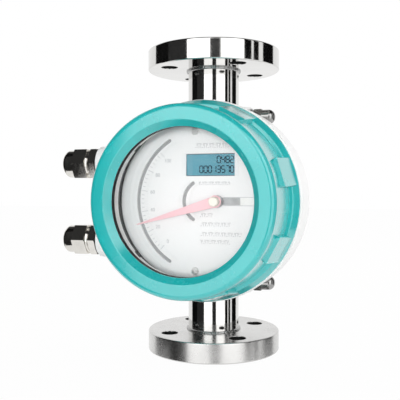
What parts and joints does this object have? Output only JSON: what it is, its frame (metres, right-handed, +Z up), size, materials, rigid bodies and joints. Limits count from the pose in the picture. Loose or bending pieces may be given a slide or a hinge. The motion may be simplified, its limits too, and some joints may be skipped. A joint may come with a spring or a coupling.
{
  "type": "metal tube flow meter",
  "caption": "Flanged upright steel flow tube with a float inside and a round clamped-on indicator: screw cover, window, dial with pointer and display, and cable glands.",
  "frame": {"origin": "centre of the lower flange's raised face, where the tube's axis meets the inlet plane", "axes": "+Z up the flow tube, from inlet to outlet; the dial faces -Y; the cable glands point to -X"},
  "size_m": [0.2203, 0.149, 0.265],
  "materials": {
    "polished_steel": "polished",
    "plated_steel": "bright plated",
    "white_paint": "smooth white coat on cast aluminium",
    "teal_paint": "glossy teal coat on cast aluminium",
    "black_rubber": "matt",
    "clear_glass": "clear",
    "pale_plastic": "satin",
    "dial_white": "matt white print on aluminium",
    "nickel_brass": "nickel plated brass",
    "bare_aluminium": "satin",
    "bare_brass": "satin",
    "magnet_grey": "matt",
    "pointer_red": "matt red coat",
    "cream_plastic": "satin",
    "board_green": "satin",
    "display_blue": "glossy",
    "black_plastic": "satin",
    "screw_steel": "satin"
  },
  "bodies": {
    "base": {"measuring_tube": "polished_steel", "lower_flange": "polished_steel", "upper_flange": "polished_steel", "lower_guide": "polished_steel", "upper_guide": "polished_steel", "lower_retaining_ring": "screw_steel", "upper_retaining_ring": "screw_steel", "housing": "white_paint", "clamp_bolts": "plated_steel", "clamp_washers": "plated_steel", "spring_washers": "plated_steel", "cap_nuts": "plated_steel", "dial_plate": "dial_white", "dial_posts": "bare_brass", "dial_screws": "screw_steel", "circuit_board": "board_green", "board_spacers": "bare_aluminium", "board_screws": "screw_steel", "display_module": "display_blue", "movement_frame": "bare_aluminium", "frame_screws": "screw_steel", "rear_bearing": "bare_brass", "front_bearing": "bare_brass", "damper_magnet": "magnet_grey", "terminal_block": "black_plastic", "upper_gland_washer": "black_rubber", "upper_gland_body": "nickel_brass", "upper_gland_seal": "black_rubber", "upper_gland_nut": "nickel_brass", "lower_gland_washer": "black_rubber", "lower_gland_body": "nickel_brass", "lower_gland_seal": "black_rubber", "lower_gland_nut": "nickel_brass"},
    "float": {"float_body": "polished_steel", "float_cap": "polished_steel", "float_magnet": "magnet_grey", "float_stem": "polished_steel", "stem_nuts": "polished_steel"},
    "pointer": {"pointer_shaft": "screw_steel", "magnet_arm": "bare_aluminium", "follower_magnet": "magnet_grey", "damping_disc": "bare_aluminium", "pointer_hub": "bare_brass", "pointer": "pointer_red", "pointer_cap": "cream_plastic"},
    "cover_seal": {"cover_seal": "black_rubber"},
    "cover": {"front_cover": "teal_paint", "window_gasket": "black_rubber", "window_glass": "clear_glass", "glass_ring": "pale_plastic"}
  },
  "joints": [
    {"name": "float_lift", "type": "slide", "parent": "base", "child": "float", "axis": [0, 0, 1], "range_m": [-0.017, 0.033]},
    {"name": "pointer_turn", "type": "hinge", "parent": "base", "child": "pointer", "pos_m": [0.019, -0.05, 0.1325], "axis": [0, 1, 0], "range_deg": [-34, 66]},
    {"name": "cover_advance", "type": "slide", "parent": "base", "child": "cover_seal", "axis": [0, -1, 0], "range_m": [0, 0.009]},
    {"name": "cover_turn", "type": "hinge", "parent": "cover_seal", "child": "cover", "pos_m": [0, -0.06, 0.1325], "axis": [0, -1, 0], "range_deg": [0, 1080]}
  ],
  "couplings": [
    {"joint": "pointer_turn", "follows": "float_lift", "rad_per_m": 34.907},
    {"joint": "cover_advance", "follows": "cover_turn", "m_per_rad": 0.00047746}
  ]
}
